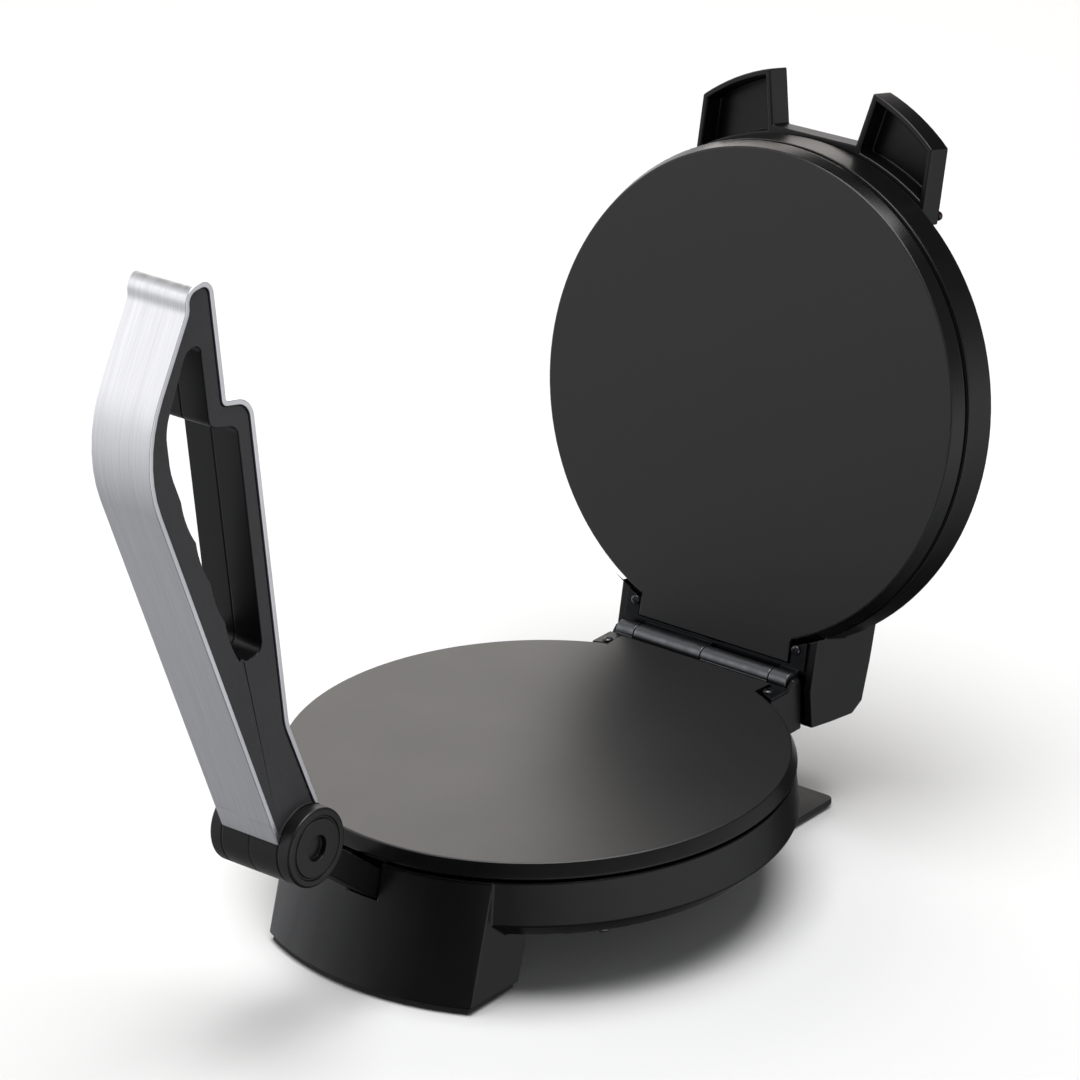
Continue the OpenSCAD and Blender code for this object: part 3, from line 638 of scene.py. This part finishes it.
def seats(node, outward, head_height):
    """Where each screw's head sits, with the radius and length of the shank under it."""
    level = 0.01 * MM    # points this little above the lowest one belong to the shank's end
    places, shank, length = [], 0.0, 0.0
    for corners in islands(node):
        along = [p.dot(outward) for p in corners]
        top, bottom = max(along), min(along)
        middle = (Vector(map(min, zip(*corners))) + Vector(map(max, zip(*corners)))) / 2
        places.append(middle + outward * (top - head_height - middle.dot(outward)))
        length = top - bottom - head_height
        ends = [p for p in corners if p.dot(outward) < bottom + level]
        shank = max((p - middle - outward * (p - middle).dot(outward)).length for p in ends)
    return places, shank, length


def place_screws(name, node, outward, lean, head, material):
    """Builds the node's screws, heads towards outward, and lets them stand for the node."""
    head_radius, head_height = head
    places, shank, length = seats(node, outward, head_height)
    pattern_mesh = bpy.data.meshes.new(name + "_head")
    bm = screw_head(head_radius, head_height, shank, length)
    bm.to_mesh(pattern_mesh)
    bm.free()
    pattern = bpy.data.objects.new(name + "_head", pattern_mesh)
    points_mesh = bpy.data.meshes.new(name + "_points")
    points_mesh.from_pydata(places, [], [])
    carrier = bpy.data.objects.new(name + "_points", points_mesh)
    for made in (pattern, carrier):
        bpy.context.scene.collection.objects.link(made)
    modifier = carrier.modifiers.new("screws", "NODES")
    modifier.node_group = screw_tree(material, pattern)
    for socket, value in (("Recess length", head_radius * 1.15), ("Recess width", head_radius * 0.26),
                          ("Recess depth", head_height * 0.6), ("Head height", head_height),
                          ("Lean", lean), ("Seed", settings().screw_seed)):
        set_input(modifier, socket, value)
    view = bpy.context.evaluated_depsgraph_get()
    mesh = bpy.data.meshes.new_from_object(carrier.evaluated_get(view))
    mesh.materials.clear()
    mesh.materials.append(material)
    smooth(mesh)
    mesh.set_sharp_from_angle(angle=SHARP)
    for made in (pattern, carrier):
        bpy.data.objects.remove(made)
    piece = bpy.data.objects.new(name, mesh)
    bpy.context.scene.collection.objects.link(piece)
    stand_for(piece, node)
    return piece


class FLATBREAD_OT_screws(bpy.types.Operator):
    """Cross-recessed screws of the hinge, the lever, the cover and the foot plate"""

    bl_idname = "flatbread.screws"
    bl_label = "Screws"

    def execute(self, context):
        black = plain_metal("blackened screw steel", linear("#5c5d60"), 0.3, 2.5, 0.006,
                            linear("#3a3b3e"))
        zinc = plain_metal("dulled zinc screw steel", linear("#6d6c68"), 0.35, 2.5, 0.006)
        small, low, tall = (2.1 * MM, 1.2 * MM), (3 * MM, 1.2 * MM), (3 * MM, 2 * MM)
        up, down, left = Vector((0, 0, 1)), Vector((0, 0, -1)), Vector((-1, 0, 0))
        out_of_lid = LID_TURN.to_3x3() @ down
        for name, node, outward, lean, head, steel in (
                ("lower_leaf_screws", "lower_hinge_screws", up, (0, 0, 0), small, black),
                ("upper_leaf_screws", "upper_hinge_screws", out_of_lid, (math.pi - LID_ANGLE, 0, 0),
                 small, black),
                ("cover_screws", "base_cover_screws", down, (math.pi, 0, 0), tall, zinc),
                ("foot_plate_screws", "rear_foot_screws", down, (math.pi, 0, 0), low, zinc),
                ("grip_screws", "handle_screws", left, (0, -math.pi / 2, 0), tall, zinc)):
            place_screws(name, node, outward, lean, head, steel)
        return {"FINISHED"}


# ---- stage ----

FLOOR_HALF = 14.0             # metres from the floor's middle to its edge
FLOOR_GAP_MM = 0.4            # how far the floor is below the feet
WALL_GLOW = (0.05, 1.3)       # the room's light ahead and behind, and at the sides
BELOW_GLOW = (0.25, 1.1)      # straight down, and just below the horizon
ABOVE_GLOW = (1.0, 0.25)      # at the horizon, and well above it
MIDDLE = (0, 0, 0.15)         # the point that every softbox faces
SOFTBOXES = (                 # name, place, width, height, watts and colour
    ("back window", (-1.8, 1.9, 1.5), 2.2, 1.6, 28, "#fff9f3"),
    ("left window", (-2.2, -0.9, 1.6), 2.4, 2.0, 8, "#ffffff"),
    ("top panel", (0.2, 0.1, 2.6), 2.0, 2.0, 76, "#ffffff"),
    ("front card", (-0.75, -0.95, 0.7), 1.3, 0.7, 2.1, "#ffffff"))
CAMERA_FROM_HINGE = Vector((1.1920, -1.5522, 0.91085))    # metres from the lid hinge's middle
CAMERA_TURN = (39.477, 23.696, -0.845)                    # degrees of heading, tilt and roll
LENS_MM = 176.37
SENSOR_MM = 36.0
FARTHEST = 60.0               # metres that the camera sees


def softbox(name, place, width, height, power, colour):
    """A rectangular area light that faces the middle of the machine."""
    data = bpy.data.lights.new(name, "AREA")
    data.shape = "RECTANGLE"
    data.size = width
    data.size_y = height
    data.energy = power
    data.color = linear(colour)
    lamp = bpy.data.objects.new(name, data)
    bpy.context.scene.collection.objects.link(lamp)
    lamp.location = place
    lamp.rotation_euler = (Vector(MIDDLE) - lamp.location).to_track_quat("-Z", "Y").to_euler()


def paper_floor():
    """A wide sheet of pale paper just under the feet, which glossy surfaces don't mirror."""
    bm = bmesh.new()
    bmesh.ops.create_grid(bm, x_segments=4, y_segments=4, size=FLOOR_HALF)
    mesh = bpy.data.meshes.new("paper_floor")
    bm.to_mesh(mesh)
    bm.free()
    mesh.transform(Matrix.Translation((0, 0, -FLOOR_GAP_MM * MM)))
    floor = bpy.data.objects.new("paper_floor", mesh)
    bpy.context.scene.collection.objects.link(floor)
    set_material(floor, studio_paper("seamless paper", linear("#ececec")))
    floor.visible_glossy = False


def room_light():
    """Soft light from all round, brightest at the sides and near the horizon."""
    world = bpy.data.worlds.new("studio")
    bpy.context.scene.world = world
    world.use_nodes = True
    tree = world.node_tree
    toward = add(tree, "ShaderNodeTexCoord").outputs["Generated"]
    parts = add(tree, "ShaderNodeSeparateXYZ", {"Vector": toward}).outputs
    sideways = add(tree, "ShaderNodeMath", {0: parts["X"]}, operation="ABSOLUTE").outputs[0]
    walls = spread(tree, sideways, 0.2, 0.95, *WALL_GLOW)
    below = spread(tree, parts["Z"], -1.0, -0.1, *BELOW_GLOW)
    above = spread(tree, parts["Z"], -0.05, 0.3, *ABOVE_GLOW)
    fading = add(tree, "ShaderNodeMath", {0: below, 1: above}, operation="MULTIPLY").outputs[0]
    glow = add(tree, "ShaderNodeMath", {0: walls, 1: fading}, operation="MULTIPLY").outputs[0]
    background = tree.nodes["Background"]
    background.inputs["Color"].default_value = rgba(linear("#f4f5f8"))
    tree.links.new(glow, background.inputs["Strength"])


def studio_camera():
    """A long lens in front and to the right, looking down at about 24 degrees."""
    lens = bpy.data.cameras.new("studio camera")
    camera = bpy.data.objects.new("studio camera", lens)
    bpy.context.scene.collection.objects.link(camera)
    lens.lens = LENS_MM
    lens.sensor_width = SENSOR_MM
    lens.clip_end = FARTHEST
    heading, tilt, roll = (math.radians(angle) for angle in CAMERA_TURN)
    ahead = Vector((-math.sin(heading) * math.cos(tilt), math.cos(heading) * math.cos(tilt),
                    -math.sin(tilt)))
    across = Vector((math.cos(heading), math.sin(heading), 0))
    above = across.cross(ahead)
    right = math.cos(roll) * across + math.sin(roll) * above
    top = -math.sin(roll) * across + math.cos(roll) * above
    turn = Matrix((right, top, -ahead)).transposed()
    hinge = Vector(JOINTS["lid_hinge"]["pos_m"])
    camera.matrix_world = Matrix.Translation(hinge + CAMERA_FROM_HINGE) @ turn.to_4x4()
    bpy.context.scene.camera = camera


class FLATBREAD_OT_stage(bpy.types.Operator):
    """Pale paper floor, soft studio light and the camera"""

    bl_idname = "flatbread.stage"
    bl_label = "Stage"

    def execute(self, context):
        paper_floor()
        room_light()
        for name, place, width, height, power, colour in SOFTBOXES:
            softbox(name, place, width, height, power, colour)
        studio_camera()
        context.scene.view_settings.view_transform = "Standard"
        return {"FINISHED"}


OPERATORS = (FLATBREAD_OT_mouldings, FLATBREAD_OT_hot_plates, FLATBREAD_OT_lever, FLATBREAD_OT_hinge,
             FLATBREAD_OT_feet, FLATBREAD_OT_inner_parts, FLATBREAD_OT_lamps, FLATBREAD_OT_screws,
             FLATBREAD_OT_stage)


class FLATBREAD_PT_panel(bpy.types.Panel):
    """Lists the steps that build the flatbread maker's looks"""

    bl_idname = "FLATBREAD_PT_panel"
    bl_label = "Flatbread Maker"
    bl_space_type = "VIEW_3D"
    bl_region_type = "UI"
    bl_category = "Flatbread"

    def draw(self, context):
        for step in OPERATORS:
            self.layout.operator(step.bl_idname)
        for name in FlatbreadMakerSettings.__annotations__:
            self.layout.prop(context.scene.flatbread_maker, name)


CLASSES = (FlatbreadMakerSettings, *OPERATORS, FLATBREAD_PT_panel)


def register():
    for kind in CLASSES:
        bpy.utils.register_class(kind)
    bpy.types.Scene.flatbread_maker = PointerProperty(type=FlatbreadMakerSettings)


def unregister():
    del bpy.types.Scene.flatbread_maker
    for kind in reversed(CLASSES):
        bpy.utils.unregister_class(kind)


def main():
    """Runs every step."""
    register()
    for step in OPERATORS:
        group, name = step.bl_idname.split(".")
        getattr(getattr(bpy.ops, group), name)()


if __name__ == "__main__":
    main()
